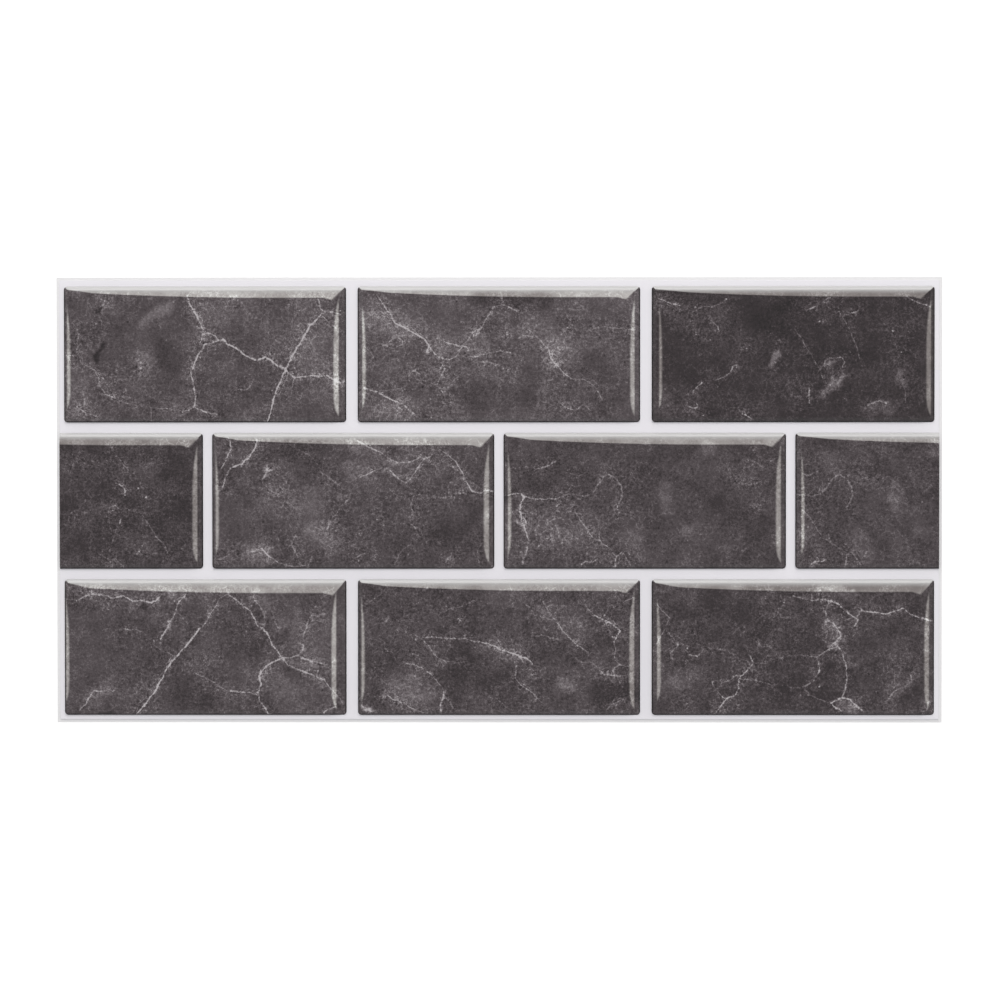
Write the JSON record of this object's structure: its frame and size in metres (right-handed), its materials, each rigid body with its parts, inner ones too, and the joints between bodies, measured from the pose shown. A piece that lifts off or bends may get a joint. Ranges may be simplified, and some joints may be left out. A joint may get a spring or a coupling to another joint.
{
  "type": "peel and stick backsplash tile sheet",
  "caption": "Self-adhesive backsplash sheet: charcoal marble gel tiles in running bond on a grout-white film with a release liner, for sticking flat on a wall",
  "frame": {"origin": "middle of the underside of the release liner, on the surface the sheet lies on", "axes": "+X along the sheet's length, to the right when the tiles are seen from the front; +Y up the wall; +Z out of the wall, through the tiles' faces"},
  "size_m": [0.305, 0.1534, 0.002],
  "materials": {
    "marble_gel": "clear glossy gel over a charcoal marble print with pale veins",
    "grout_film": "satin grout-white vinyl film",
    "liner_paper": "smooth silicone-coated release paper"
  },
  "bodies": {
    "root": {"release_liner": "liner_paper", "backing_film": "grout_film", "gel_tile_top_left": "marble_gel", "gel_tile_top_middle": "marble_gel", "gel_tile_top_right": "marble_gel", "half_gel_tile_left": "marble_gel", "gel_tile_centre_left": "marble_gel", "gel_tile_centre_right": "marble_gel", "half_gel_tile_right": "marble_gel", "gel_tile_bottom_left": "marble_gel", "gel_tile_bottom_middle": "marble_gel", "gel_tile_bottom_right": "marble_gel"}
  },
  "joints": []
}
